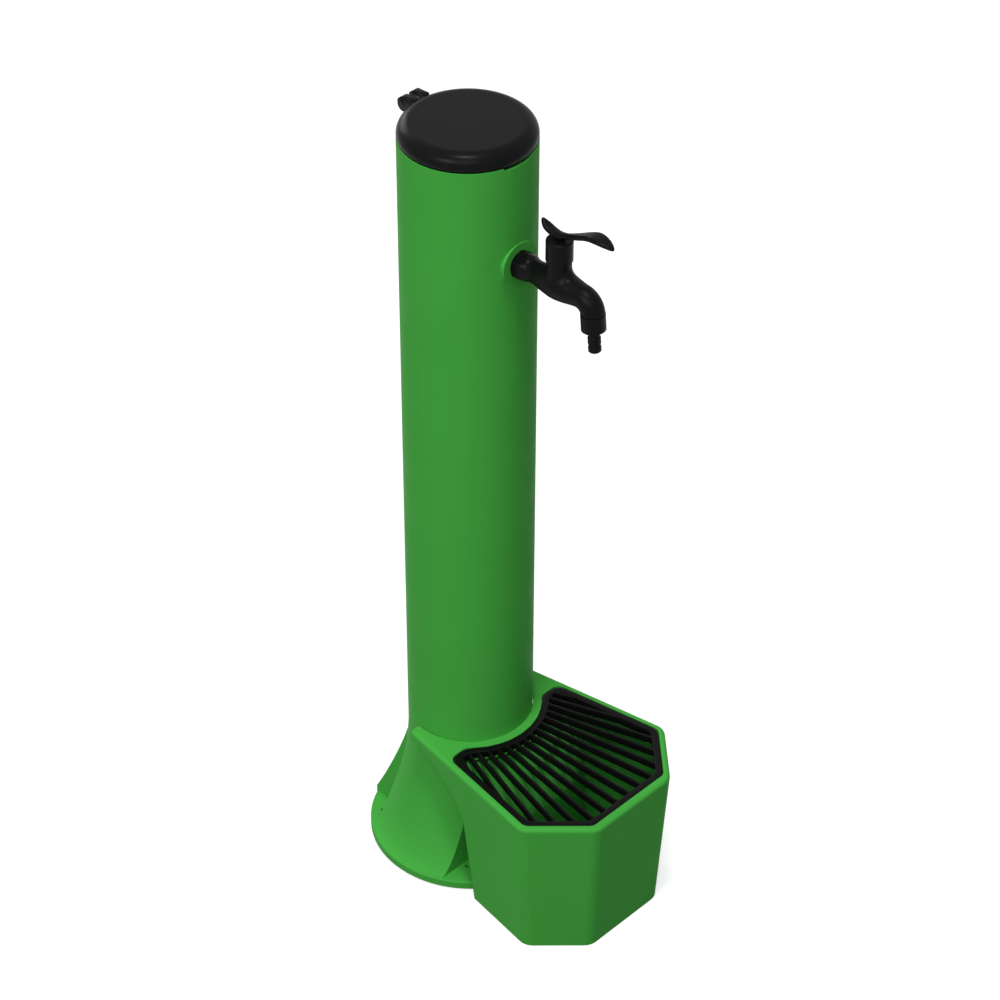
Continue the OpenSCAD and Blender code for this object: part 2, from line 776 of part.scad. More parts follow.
module outlet_adapter() {
    color(black) at_outlet() difference() {
        union() {
            translate([0, 0, -outlet_nut_h]) cylinder(r = outlet_nut_r, h = outlet_nut_h);
            translate([0, 0, -outlet_nut_h - outlet_cone])
                cylinder(r1 = stub_r + 1, r2 = outlet_nut_r - 1, h = outlet_cone);
            translate([0, 0, stub_low]) rotate_extrude() polygon(stub_profile(stub_len + eps));
        }
        translate([0, 0, outlet_seat - washer_t]) cylinder(r = outlet_thread_r + run, h = 40);
        translate([0, 0, stub_low - eps]) cylinder(r = stub_bore_r, h = 60);
    }
}

module outlet_washer() {
    color(black) at_outlet() ring_z(outlet_thread_r, 4.6, outlet_seat - washer_t, outlet_seat);
}

// One bend of the hose in the plane x = 0, as a solid of the given radius
module hose_path(r) {
    along_y(r, hose_y + hose_bend, inlet_hose_y, inlet_z);
    translate([0, hose_y + hose_bend, inlet_z + hose_bend]) rotate([0, -90, 0]) rotate([0, 0, 180])
        rotate_extrude(angle = 90) translate([hose_bend, 0]) circle(r = r, $fn = 40);
    translate([0, hose_y, inlet_z + hose_bend]) cylinder(r = r, h = tap_z - inlet_z - 2 * hose_bend);
    translate([0, hose_y - hose_bend, tap_z - hose_bend]) rotate([0, -90, 0])
        rotate_extrude(angle = 90) translate([hose_bend, 0]) circle(r = r, $fn = 40);
    along_y(r, union_hose_y(), hose_y - hose_bend, tap_z);
}

// Where the hose starts behind the tap's union
function union_hose_y() = -(shank_end - washer_t - 4);

module riser_hose() {
    color("dimgray") difference() {
        hose_path(hose_r);
        hose_path(hose_bore_r);
    }
}

module hose_clips() {
    color("silver") for (y = [union_hose_y() + 2, inlet_hose_y - 11]) {
        z = y < 0 ? tap_z : inlet_z;
        ring_y(hose_r + 1, hose_r, y, y + 9, z);
        translate([-3, y + 1, z + hose_r + 0.6]) cube([6, 7, 4]);
    }
}

module tap_union() {
    color("white") difference() {
        union() {
            hex_y(nut_af, -union_front, -union_front + union_len, tap_z);
            along_y(hose_bore_r - tail_ring, -union_seat, union_hose_y() + tail_len, tap_z);
        }
        along_y(shank_r + run, -union_front - eps, -union_seat, tap_z);
        along_y(stub_bore_r, -union_seat - eps, union_hose_y() + tail_len + eps, tap_z);
    }
}

module tap_union_washer() {
    color(black) ring_y(shank_r, 4.6, -shank_end, -union_seat, tap_z);
}

module inlet_fitting() {
    color(black) difference() {
        union() {
            hex_y(nut_af, inlet_wall - inlet_flange_t, inlet_wall, inlet_z);
            along_y(shank_r, inlet_wall - eps, inlet_out + 2, inlet_z);
            along_y(hose_bore_r - tail_ring, inlet_hose_y - tail_len, inlet_wall - inlet_flange_t + eps, inlet_z);
            translate([0, inlet_out + stub_len, inlet_z]) rotate([90, 0, 0])
                rotate_extrude() polygon(stub_profile(stub_len));
        }
        along_y(stub_bore_r, inlet_hose_y - tail_len - eps, inlet_out + stub_len + 2 * eps, inlet_z);
    }
}

module inlet_washer() {
    color(black) ring_y(15, shank_r + run, niche_y, niche_y + washer_t, inlet_z);
}

module inlet_nut() {
    color(black) difference() {
        hex_y(nut_af, niche_y + washer_t, inlet_out, inlet_z);
        along_y(shank_r + run, niche_y, inlet_out + eps, inlet_z);
    }
}

// Outline of the bucket at its rim, moved in by a distance, with round corners
module bucket_outline(inset, corner = corner_r) {
    offset(r = corner) offset(delta = -corner - inset) polygon([
        [-shoulder_w / 2, -shoulder_y], [-front_w / 2, -bucket_front], [front_w / 2, -bucket_front],
        [shoulder_w / 2, -shoulder_y], [tail_side(60), 60], [-tail_side(60), 60]
    ]);
}

// Half width of the bucket at its rim, at a distance behind the axis
function tail_side(y) = tail_w / 2
    - (y - tail_y) * (shoulder_w - tail_w) / 2 / (shoulder_y + tail_y);

// Tapered body of the bucket between two heights, moved in by a distance
module bucket_block(z0, z1, inset, round_top = 0) {
    hull() {
        translate([0, 0, z0]) linear_extrude(0.01)
            bucket_outline(inset + (bucket_h - z0) * tan(draft), max(corner_r - inset, 4), $fn = 32);
        for (a = round_top > 0 ? [0, 30, 60, 90] : [90])
            translate([0, 0, z1 - 0.01 - round_top * (1 - sin(a))]) linear_extrude(0.01)
                bucket_outline(inset + round_top * (1 - cos(a)) + (bucket_h - z1) * tan(draft),
                    max(corner_r - inset, 4), $fn = 32);
    }
}

// Space behind the bucket that the column and its foot take, grown by a wall where asked
module bucket_back(grow) {
    translate([0, back_shift, 0]) rotate_extrude($fn = 128) polygon(concat(
        [[0, -eps], [back_low_r + grow, -eps], [back_low_r + grow, 0]],
        reverse(shoulder(back_top_r + grow, back_mid_r + grow, back_mid_h, back_high + grow / 3, back_n)),
        [[back_top_r + grow, bucket_h + eps], [0, bucket_h + eps]]
    ));
}

// Outline of the grille, moved in by a distance
module grille_outline(inset) {
    offset(r = grille_corner_r) offset(delta = -grille_corner_r - inset) difference() {
        bucket_outline(rim_w, corner_r - rim_w, $fn = 32);
        circle(r = grille_back_r);
        translate([-shoulder_w, -grille_rear_y]) square([2 * shoulder_w, 2 * shoulder_w]);
        translate([-shoulder_w, -bucket_front - eps]) square([2 * shoulder_w, front_rim_w + eps]);
    }
}

module bucket() {
    color(green) difference() {
        bucket_block(0, bucket_h, 0, rim_round);
        bucket_back(0);
        translate([-shoulder_w, tail_y, -eps]) cube([2 * shoulder_w, shoulder_w, 2 * bucket_h]);
        difference() {
            bucket_block(bucket_wall, bucket_h - plate_t, bucket_wall);
            bucket_back(bucket_wall);
            translate([-shoulder_w, -grille_rear_y - ledge_w, -eps])
                cube([2 * shoulder_w, shoulder_w, 2 * bucket_h]);
        }
        translate([0, 0, bucket_h - grille_t]) linear_extrude(2 * grille_t)
            grille_outline(-grille_gap, $fn = 32);
        translate([0, 0, bucket_h - plate_t - eps]) linear_extrude(2 * plate_t)
            grille_outline(ledge_w, $fn = 32);
    }
}

// Spaces between the bars, inside the frame
module grille_slots() {
    reach = fan_y + bucket_front;
    difference() {
        intersection() {
            bucket_outline(rim_w + frame_w, max(corner_r - rim_w - frame_w, 2), $fn = 24);
            translate([-shoulder_w, front_rim_w + frame_w - bucket_front])
                square([2 * shoulder_w, bucket_front - front_rim_w - frame_w - grille_rear_y - rear_band]);
        }
        circle(r = grille_back_r + rear_band);
        for (k = [-7.5 : 1 : 7.5]) translate([0, fan_y]) rotate(k * fan_step)
            translate([-bar_w / 2, -reach]) square([bar_w, reach]);
    }
}

module grille() {
    color(black) translate([0, 0, grille_z]) linear_extrude(grille_t) difference() {
        grille_outline(0, $fn = 32);
        grille_slots();
    }
}

column_body();
hinge_pin();
tap_gasket();
tap_body();
back_washer();
back_nut();
bonnet();
valve_cartridge();
seat_seal();
fixed_disc();
stem_seal();
outlet_adapter();
outlet_washer();
riser_hose();
hose_clips();
tap_union();
tap_union_washer();
inlet_fitting();
inlet_nut();
inlet_washer();
lid();
tap_handle();
spindle();
turning_disc();
bucket();
grille();
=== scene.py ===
import json
from math import cos, hypot, radians, sin
import bmesh
import bpy
import numpy as np
from mathutils import Euler, Matrix, Vector


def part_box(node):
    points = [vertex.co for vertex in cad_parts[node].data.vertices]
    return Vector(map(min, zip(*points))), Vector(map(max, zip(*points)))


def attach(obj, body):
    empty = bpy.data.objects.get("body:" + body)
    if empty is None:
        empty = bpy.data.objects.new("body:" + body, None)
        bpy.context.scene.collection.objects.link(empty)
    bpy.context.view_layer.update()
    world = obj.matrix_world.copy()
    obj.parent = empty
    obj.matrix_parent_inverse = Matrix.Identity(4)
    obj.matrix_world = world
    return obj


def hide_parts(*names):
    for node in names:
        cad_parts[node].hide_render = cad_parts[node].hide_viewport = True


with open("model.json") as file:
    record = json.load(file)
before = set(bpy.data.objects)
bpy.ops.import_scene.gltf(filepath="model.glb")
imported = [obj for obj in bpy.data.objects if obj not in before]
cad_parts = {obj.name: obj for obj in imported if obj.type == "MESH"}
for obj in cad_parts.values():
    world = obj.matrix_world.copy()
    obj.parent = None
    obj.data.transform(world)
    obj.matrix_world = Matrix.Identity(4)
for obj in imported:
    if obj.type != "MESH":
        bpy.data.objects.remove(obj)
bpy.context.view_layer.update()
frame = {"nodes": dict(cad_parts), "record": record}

print("garden fountain: the CAD frame is in")

# camera: the photograph's view
view = {
    "focalMm": 120.89,
    "sensorMm": 36,
    "distance": 3.0453,          # level distance from the column's axis
    "height": 2.8364,
    "azimuth": -45.770,          # degrees, where the camera stands
    "heading": -46.426,          # degrees, where it looks
    "tiltDown": 37.521,
    "roll": 0.113,
    "seesUpTo": 50,
}

cameraData = bpy.data.cameras.new("camera")
cameraData.lens = view["focalMm"]
cameraData.sensor_width = view["sensorMm"]
cameraData.clip_end = view["seesUpTo"]
camera = bpy.data.objects.new("camera", cameraData)
bpy.context.collection.objects.link(camera)
around = radians(view["azimuth"])
camera.location = (view["distance"] * sin(around), -view["distance"] * cos(around), view["height"])
aim = Euler((radians(90 - view["tiltDown"]), 0, radians(view["heading"]))).to_matrix()
camera.rotation_euler = (aim @ Matrix.Rotation(radians(view["roll"]), 3, "Z")).to_euler()
bpy.context.scene.camera = camera
print("camera is set")

# finishes: the rows below give each one's own colour and gloss
surface = {
    "noiseSpan": (0.3, 0.7),     # where most values of a noise lie
    "cloudScale": 9,             # the faint clouds in a plastic's tone
    "cloudDetail": 3,
    "smearScale": 36,            # patches of uneven gloss
    "smearDetail": 2,
    "smearGloss": 0.04,          # how far roughness wanders to either side
    "grainDetail": 2,
    "grainStrength": 0.35,
    "turningScale": 900,         # the fine rings of turned metal
    "turningDetail": 2,
    "turningStretch": (1, 1, 6),
    "turningGloss": (-0.06, 0.08),
    "turningStrength": 0.2,
    "turningDepth": 0.00004,
    "edgeRadius": 0.0006,        # how far edges look softened
    "edgeSamples": 4,
}
plastics = {                     # colour, darker tone, roughness, grain scale, grain depth, specular level
    "greenPlastic": ((0.061, 0.385, 0.055), (0.057, 0.368, 0.051), 0.52, 1500, 0.00002, 0.025),
    "blackPlastic": ((0.0044, 0.0045, 0.0044), (0.0038, 0.0039, 0.0038), 0.36, 1800, 0.00001, 0.055),
    "lidPlastic": ((0.0054, 0.0058, 0.0056), (0.0046, 0.005, 0.0048), 0.3, 1800, 0.00001, 0.05),
    "sealRubber": ((0.012, 0.012, 0.012), (0.009, 0.009, 0.009), 0.7, 2200, 0.00004, 0.25),
    "fittingPlastic": ((0.72, 0.72, 0.69), (0.69, 0.69, 0.66), 0.35, 1200, 0.00003, 0.5),
    "ceramicDisc": ((0.84, 0.83, 0.8), (0.82, 0.81, 0.78), 0.18, 2500, 0.00001, 0.5),
    "hoseRubber": ((0.03, 0.03, 0.033), (0.024, 0.024, 0.027), 0.6, 700, 0.0001, 0.5),
}
metals = {                       # colour, roughness
    "plainSteel": ((0.58, 0.58, 0.6), 0.3),
    "turnedBrass": ((0.73, 0.53, 0.24), 0.28),
}
finishOfSlot = {
    "green": "greenPlastic", "black": "blackPlastic", "seal": "sealRubber", "fitting": "fittingPlastic",
    "disc": "ceramicDisc", "hose": "hoseRubber", "steel": "plainSteel", "brass": "turnedBrass",
}
finishOfNode = {"lid": "lidPlastic"}    # nodes that differ from their slot's finish


def newMaterial(name):
    material = bpy.data.materials.new(name)
    material.use_nodes = True
    nodes = material.node_tree.nodes
    return material, nodes, material.node_tree.links, nodes["Principled BSDF"]


def addNoise(nodes, links, coords, scale, detail, stretch=(1, 1, 1)):
    mapping = nodes.new("ShaderNodeMapping")
    mapping.inputs["Scale"].default_value = stretch
    noise = nodes.new("ShaderNodeTexNoise")
    noise.inputs["Scale"].default_value = scale
    noise.inputs["Detail"].default_value = detail
    links.new(coords.outputs["Object"], mapping.inputs["Vector"])
    links.new(mapping.outputs["Vector"], noise.inputs["Vector"])
    return noise.outputs["Fac"]


def addRamp(nodes, links, source, low, high):
    ramp = nodes.new("ShaderNodeMapRange")
    ramp.inputs["From Min"].default_value = surface["noiseSpan"][0]
    ramp.inputs["From Max"].default_value = surface["noiseSpan"][1]
    ramp.inputs["To Min"].default_value = low
    ramp.inputs["To Max"].default_value = high
    links.new(source, ramp.inputs["Value"])
    return ramp.outputs["Result"]


def addMix(nodes, links, factor, first, second):
    mix = nodes.new("ShaderNodeMix")
    mix.data_type = "RGBA"
    mix.inputs["A"].default_value = (*first, 1)
    mix.inputs["B"].default_value = (*second, 1)
    links.new(factor, mix.inputs["Factor"])
    return mix.outputs["Result"]


def addBump(nodes, links, height, strength, depth):
    # fine relief on top of slightly softened edges
    edge = nodes.new("ShaderNodeBevel")
    edge.samples = surface["edgeSamples"]
    edge.inputs["Radius"].default_value = surface["edgeRadius"]
    bump = nodes.new("ShaderNodeBump")
    bump.inputs["Strength"].default_value = strength
    bump.inputs["Distance"].default_value = depth
    links.new(edge.outputs["Normal"], bump.inputs["Normal"])
    links.new(height, bump.inputs["Height"])
    return bump.outputs["Normal"]


def mouldedPlastic(name, colour, darker, roughness, grain, grainDepth, specular):
    # moulded plastic: a faint cloudy tone, a fine grain and a slightly uneven gloss
    material, nodes, links, shader = newMaterial(name)
    coords = nodes.new("ShaderNodeTexCoord")
    cloud = addNoise(nodes, links, coords, surface["cloudScale"], surface["cloudDetail"])
    tone = addMix(nodes, links, addRamp(nodes, links, cloud, 0, 1), darker, colour)
    smear = addNoise(nodes, links, coords, surface["smearScale"], surface["smearDetail"])
    gloss = addRamp(nodes, links, smear, roughness - surface["smearGloss"], roughness + surface["smearGloss"])
    fine = addNoise(nodes, links, coords, grain, surface["grainDetail"])
    relief = addBump(nodes, links, fine, surface["grainStrength"], grainDepth)
    links.new(tone, shader.inputs["Base Color"])
    links.new(gloss, shader.inputs["Roughness"])
    links.new(relief, shader.inputs["Normal"])
    shader.inputs["Specular IOR Level"].default_value = specular
    return material


def turnedMetal(name, colour, roughness):
    # turned metal: fine rings in its gloss and its relief
    material, nodes, links, shader = newMaterial(name)
    coords = nodes.new("ShaderNodeTexCoord")
    rings = addNoise(nodes, links, coords, surface["turningScale"], surface["turningDetail"],
                     surface["turningStretch"])
    gloss = addRamp(nodes, links, rings, *[roughness + part for part in surface["turningGloss"]])
    relief = addBump(nodes, links, rings, surface["turningStrength"], surface["turningDepth"])
    links.new(gloss, shader.inputs["Roughness"])
    links.new(relief, shader.inputs["Normal"])
    shader.inputs["Base Color"].default_value = (*colour, 1)
    shader.inputs["Metallic"].default_value = 1
    return material


finish = {name: mouldedPlastic(name, *row) for name, row in plastics.items()}
finish.update({name: turnedMetal(name, *row) for name, row in metals.items()})

for entry in frame["record"]["subparts"]:
    finishName = finishOfNode.get(entry["node"], finishOfSlot[entry["material_slot"]])
    for slot in frame["nodes"][entry["node"]].material_slots:
        slot.material = finish[finishName]
print("finishes are on the CAD nodes")


# helpers for the pieces that stand in for CAD nodes

def weldedShell(nodeName, reach=0.000005):
    # the node's shape with its loose triangles joined
    shell = bmesh.new()
    shell.from_mesh(frame["nodes"][nodeName].data)
    bmesh.ops.remove_doubles(shell, verts=shell.verts, dist=reach)
    return shell


def bakedMesh(holder, name):
    # the holder's shape with its modifiers done, as a plain mesh
    bpy.context.collection.objects.link(holder)
    graph = bpy.context.evaluated_depsgraph_get()
    mesh = bpy.data.meshes.new_from_object(holder.evaluated_get(graph))
    mesh.name = name
    bpy.data.objects.remove(holder)
    return mesh


def remeshed(shell, name, voxel):
    holder = bpy.data.objects.new(name + "Holder", bpy.data.meshes.new(name + "Holder"))
    shell.to_mesh(holder.data)
    shell.free()
    remesh = holder.modifiers.new("remesh", "REMESH")
    remesh.mode = "VOXEL"
    remesh.voxel_size = voxel
    return bakedMesh(holder, name)


def readPoints(mesh):
    points = np.empty(len(mesh.vertices) * 3)
    mesh.vertices.foreach_get("co", points)
    return points.reshape(-1, 3)


def writePoints(mesh, points):
    mesh.vertices.foreach_set("co", points.ravel())
    mesh.update()


def readCorners(parts, size):
    # the point numbers of edges or triangles, one row for each
    corners = np.empty(len(parts) * size, int)
    parts.foreach_get("vertices", corners)
    return corners.reshape(-1, size)


def readTriangles(mesh):
    mesh.calc_loop_triangles()
    return readCorners(mesh.loop_triangles, 3)


def vertexNormals(points, triangles):
    a, b, c = (points[triangles[:, k]] for k in range(3))
    across = np.cross(b - a, c - a)
    normals = np.zeros_like(points)
    for axis in range(3):
        for k in range(3):
            normals[:, axis] += np.bincount(triangles[:, k], across[:, axis], len(points))
    tiny = 1e-20                 # keeps a lone point from a division by zero
    return normals / np.maximum(np.linalg.norm(normals, axis=1), tiny)[:, None]


smoothing = {
    "upShare": 0.9,              # of the way to the middle of a point's neighbours, along its normal
    "alongShare": 0.4,           # the same, along the surface
    "normalsEvery": 4,           # rounds between two readings of the normals
}


def relax(mesh, weights, rounds, hollowsOnly=False):
    # each round moves a point towards the middle of its neighbours, or only outwards, which fills hollows
    points = readPoints(mesh)
    count = len(points)
    first, second = readCorners(mesh.edges, 2).T
    neighbours = np.bincount(first, minlength=count) + np.bincount(second, minlength=count)
    triangles = readTriangles(mesh)
    for lap in range(rounds):
        if lap % smoothing["normalsEvery"] == 0:
            normals = vertexNormals(points, triangles)
        sums = [np.bincount(first, points[second, k], count) + np.bincount(second, points[first, k], count)
                for k in range(3)]
        step = np.stack(sums, axis=1) / neighbours[:, None] - points
        rise = (step * normals).sum(axis=1)
        along = step - rise[:, None] * normals
        if hollowsOnly:
            rise = np.maximum(rise, 0)
        up = rise[:, None] * normals
        points += weights[:, None] * (smoothing["upShare"] * up + smoothing["alongShare"] * along)
    writePoints(mesh, points)


def rampUp(values, start, end):
    # 0 up to start and 1 from end on, where end may be the lower one
    return np.clip((values - start) / (end - start), 0, 1)


def addPiece(name, mesh, finishName, body, slotName, *nodeNames):
    mesh.materials.clear()
    mesh.materials.append(finish[finishName])
    mesh.polygons.foreach_set("use_smooth", [True] * len(mesh.polygons))
    piece = bpy.data.objects.new(name, mesh)
    bpy.context.collection.objects.link(piece)
    if nodeNames:
        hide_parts(*nodeNames)
    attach(piece, body)
    return piece


# tap: the neck runs into the tube with a wide soft fillet
tap = {
    "voxel": 0.0008,
    "valveY": -0.1336,           # the valve's axis
    "tubeZ": 0.857,              # the tube's axis
    "seatRadius": 0.0105,        # the valve's seat inside this radius keeps its shape
    "neckRadius": 0.0118,        # the fillet keeps out of the neck
    "neckLow": 0.849,
    "boreRadius": 0.0095,        # and out of the tube's water way
    "softening": 0.6,
    "softRounds": 8,
    "filletTop": (0.886, 0.880),        # where the fillet fades out, and where it is full
    "filletLow": (0.845, 0.853),
    "filletRear": (-0.106, -0.114),
    "filletFront": (-0.174, -0.166),
    "filletRounds": 320,         # more rounds make a wider fillet
}

tapMesh = remeshed(weldedShell("tap_body"), "tapCasting", tap["voxel"])
tapX, tapY, tapZ = readPoints(tapMesh).T
fromNeck = np.hypot(tapX, tapY - tap["valveY"])
fromTube = np.hypot(tapX, tapZ - tap["tubeZ"])
relax(tapMesh, np.where(fromNeck < tap["seatRadius"], 0.0, tap["softening"]), tap["softRounds"])
inNeck = (fromNeck < tap["neckRadius"]) & (tapZ > tap["neckLow"])
fillet = ~inNeck & (fromTube > tap["boreRadius"])
for places, span in ((tapZ, "filletTop"), (tapZ, "filletLow"), (tapY, "filletRear"), (tapY, "filletFront")):
    fillet = fillet * rampUp(places, *tap[span])
relax(tapMesh, fillet, tap["filletRounds"], hollowsOnly=True)
addPiece("tapCasting", tapMesh, "blackPlastic", "column", "black", "tap_body")
print("tap:", len(tapMesh.vertices), "points")

# lever: fuller and rounder than its flat strip
lever = {
    "voxel": 0.0006,
    "bladeLow": (0.9155, 0.9175),       # the blade starts between these heights, over the hub
    "fuller": 0.0018,            # how far the blade's skin stands out
    "softening": (0.5, 4),       # share and rounds before it is made fuller
    "rounding": (0.7, 16),       # and after it
}

leverMesh = remeshed(weldedShell("tap_handle"), "leverBlade", lever["voxel"])
share, rounds = lever["softening"]
relax(leverMesh, np.full(len(leverMesh.vertices), share), rounds)
leverPoints = readPoints(leverMesh)
blade = rampUp(leverPoints[:, 2], *lever["bladeLow"])
outwards = vertexNormals(leverPoints, readTriangles(leverMesh))
writePoints(leverMesh, leverPoints + lever["fuller"] * blade[:, None] * outwards)
share, rounds = lever["rounding"]
relax(leverMesh, share * blade, rounds)
addPiece("leverBlade", leverMesh, "blackPlastic", "handle", "black", "tap_handle")
print("lever:", len(leverMesh.vertices), "points")

# lid: a level top, and a lower edge that leaves a thin ledge on the column's rim
lid = {
    "topZ": 1.002,
    "dishZ": 1.0002,             # points above this are the top's
    "flatRadius": 0.0605,        # the top is level inside this radius
    "skirtRadius": 0.0725,       # the skirt's wall lies between these two
    "outerRadius": 0.0765,
    "skirtLow": 0.9775,          # nothing below this moves
    "rimZ": 0.982,               # the skirt's lower edge
    "taperZ": 0.987,             # above this it has its full width
    "ledge": 0.0009,             # how far the lower edge stands back from the column's wall
}

lidShell = weldedShell("lid")
for point in lidShell.verts:
    radius = hypot(point.co.x, point.co.y)
    if radius < lid["flatRadius"] and point.co.z > lid["dishZ"]:
        point.co.z = lid["topZ"]
    elif lid["skirtRadius"] < radius < lid["outerRadius"] and point.co.z > lid["skirtLow"]:
        nearRim = rampUp(point.co.z, lid["taperZ"], lid["rimZ"])
        point.co.xy *= 1 - nearRim * lid["ledge"] / radius
lidMesh = bpy.data.meshes.new("lidCap")
lidShell.to_mesh(lidMesh)
lidShell.free()
addPiece("lidCap", lidMesh, "lidPlastic", "lid", "black", "lid")
print("lid is in")

# grille: a rounded frame and a fan of rounded bars, each a strip swept along its path
grille = {
    "frameWidth": 0.0082,
    "barWidth": 0.0032,
    "barShallower": 0.0004,      # how much less deep the bars are than the frame
    "edgeRadius": 0.0009,
    "edgeSteps": 3,
    "fanY": 0.1235,              # the point that the bars run from
    "fanStep": 3.12,             # degrees from one bar to the next
    "bars": 16,
    "pathStep": 0.002,
    "cornerRounds": 14,          # more rounds make rounder corners
}


def stripNodes():
    # sweeps a rounded rectangle along the edges of a mesh
    tree = bpy.data.node_groups.new("sweptStrip", "GeometryNodeTree")
    tree.interface.new_socket("Paths", in_out="INPUT", socket_type="NodeSocketGeometry")
    for name in ("Width", "Depth", "Edge Radius"):
        tree.interface.new_socket(name, in_out="INPUT", socket_type="NodeSocketFloat")
    tree.interface.new_socket("Edge Steps", in_out="INPUT", socket_type="NodeSocketInt")
    tree.interface.new_socket("Finish", in_out="INPUT", socket_type="NodeSocketMaterial")
    tree.interface.new_socket("Strips", in_out="OUTPUT", socket_type="NodeSocketGeometry")
    nodes, links = tree.nodes, tree.links
    given = nodes.new("NodeGroupInput")
    curve = nodes.new("GeometryNodeMeshToCurve")
    upright = nodes.new("GeometryNodeSetCurveNormal")
    upright.mode = "Z_UP"
    section = nodes.new("GeometryNodeCurvePrimitiveQuadrilateral")
    soften = nodes.new("GeometryNodeFilletCurve")
    soften.mode = "POLY"
    sweep = nodes.new("GeometryNodeCurveToMesh")
    sweep.inputs["Fill Caps"].default_value = True
    realize = nodes.new("GeometryNodeRealizeInstances")
    paint = nodes.new("GeometryNodeSetMaterial")
    made = nodes.new("NodeGroupOutput")
    links.new(given.outputs["Paths"], curve.inputs["Mesh"])
    links.new(curve.outputs["Curve"], upright.inputs["Curve"])
    links.new(given.outputs["Width"], section.inputs["Width"])
    links.new(given.outputs["Depth"], section.inputs["Height"])
    links.new(section.outputs["Curve"], soften.inputs["Curve"])
    links.new(given.outputs["Edge Radius"], soften.inputs["Radius"])
    links.new(given.outputs["Edge Steps"], soften.inputs["Count"])
    links.new(upright.outputs["Curve"], sweep.inputs["Curve"])
    links.new(soften.outputs["Curve"], sweep.inputs["Profile Curve"])
    links.new(sweep.outputs["Mesh"], realize.inputs["Geometry"])
    links.new(realize.outputs["Geometry"], paint.inputs["Geometry"])
    links.new(given.outputs["Finish"], paint.inputs["Material"])
    links.new(paint.outputs["Geometry"], made.inputs["Strips"])
    return tree


def sweptStrips(tree, name, points, edges, width, depth):
    pathMesh = bpy.data.meshes.new(name + "Paths")
    pathMesh.from_pydata([tuple(point) for point in points], edges, [])
    holder = bpy.data.objects.new(name + "Paths", pathMesh)
    strips = holder.modifiers.new("strips", "NODES")
    strips.node_group = tree
    given = {
        "Width": width, "Depth": depth, "Finish": finish["blackPlastic"],
        "Edge Radius": grille["edgeRadius"], "Edge Steps": grille["edgeSteps"],
    }
    for socket in tree.interface.items_tree:
        if socket.in_out == "INPUT" and socket.name in given:
            strips[socket.identifier] = given[socket.name]
    return bakedMesh(holder, name)


def runLength(run):
    return sum((a.co - b.co).length for a, b in zip(run, run[1:]))


def outerLoop(shell, level, within=0.00001, flat=0.5):
    # the longest closed run of edges round the flat face at this height
    after = {}
    for edge in shell.edges:
        if all(abs(point.co.z - level) < within for point in edge.verts) and len(edge.link_faces) == 2:
            wall, top = sorted(abs(face.normal.z) for face in edge.link_faces)
            if wall < flat < top:
                for point in edge.verts:
                    after.setdefault(point, []).append(edge.other_vert(point))
    longest = []
    while after:
        point = next(iter(after))
        run = [point]
        while True:
            ways = [other for other in after.pop(point) if other in after]
            if not ways:
                break
            point = ways[0]
            run.append(point)
        if len(run) > 2 and runLength(run) > runLength(longest):
            longest = run
    return np.array([point.co[:2] for point in longest])


def evenly(loop, step):
    # points at equal steps round a closed run
    closed = np.vstack([loop, loop[:1]])
    way = np.concatenate([[0], np.cumsum(np.hypot(*np.diff(closed, axis=0).T))])
    places = np.linspace(0, way[-1], round(way[-1] / step), endpoint=False)
    return np.column_stack([np.interp(places, way, closed[:, k]) for k in range(2)])


def movedIn(loop, distance):
    # a closed run moved inwards by this distance, whichever way round it goes
    after, before = np.roll(loop, -1, axis=0), np.roll(loop, 1, axis=0)
    ahead = after - before
    aside = np.column_stack([-ahead[:, 1], ahead[:, 0]]) / np.hypot(*ahead.T)[:, None]
    area = np.sum(loop[:, 0] * after[:, 1] - loop[:, 1] * after[:, 0])
    return loop + np.sign(area) * distance * aside


def crossings(loop, origin, direction, parallel=1e-12):
    # distances along a line from origin to where it meets a closed run
    found = []
    for a, b in zip(loop, np.roll(loop, -1, axis=0)):
        grid = np.column_stack([direction, a - b])
        if abs(np.linalg.det(grid)) > parallel:
            far, share = np.linalg.solve(grid, a - origin)
            if 0 <= share < 1:
                found.append(far)
    return sorted(found)


grilleLow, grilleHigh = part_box("grille")
grilleDepth = grilleHigh[2] - grilleLow[2]
grilleMiddle = (grilleHigh[2] + grilleLow[2]) / 2
grilleShell = weldedShell("grille")
edgeLoop = evenly(outerLoop(grilleShell, grilleHigh[2]), grille["pathStep"])
grilleShell.free()
for lap in range(grille["cornerRounds"]):
    edgeLoop = (edgeLoop + np.roll(edgeLoop, 1, axis=0) + np.roll(edgeLoop, -1, axis=0)) / 3
framePath = movedIn(edgeLoop, grille["frameWidth"] / 2)
framePoints = [(x, y, grilleMiddle) for x, y in framePath]
frameEdges = [(k, (k + 1) % len(framePath)) for k in range(len(framePath))]

fanPoint = np.array([0, grille["fanY"]])
barPoints = []
for k in range(grille["bars"]):
    turn = radians(grille["fanStep"] * (k - (grille["bars"] - 1) / 2))
    direction = np.array([sin(turn), -cos(turn)])
    meets = crossings(framePath, fanPoint, direction)
    for far in (meets[0], meets[-1]):
        barPoints.append((*(fanPoint + far * direction), grilleMiddle))
barEdges = [(2 * k, 2 * k + 1) for k in range(grille["bars"])]

stripTree = stripNodes()
frameMesh = sweptStrips(stripTree, "grilleFrame", framePoints, frameEdges, grille["frameWidth"], grilleDepth)
barMesh = sweptStrips(stripTree, "grilleBars", barPoints, barEdges, grille["barWidth"],
                      grilleDepth - grille["barShallower"])
addPiece("grilleFrame", frameMesh, "blackPlastic", "grille", "black", "grille")
addPiece("grilleBars", barMesh, "blackPlastic", "grille", "black", "grille")
print("grille:", len(framePath), "path points,", grille["bars"], "bars")

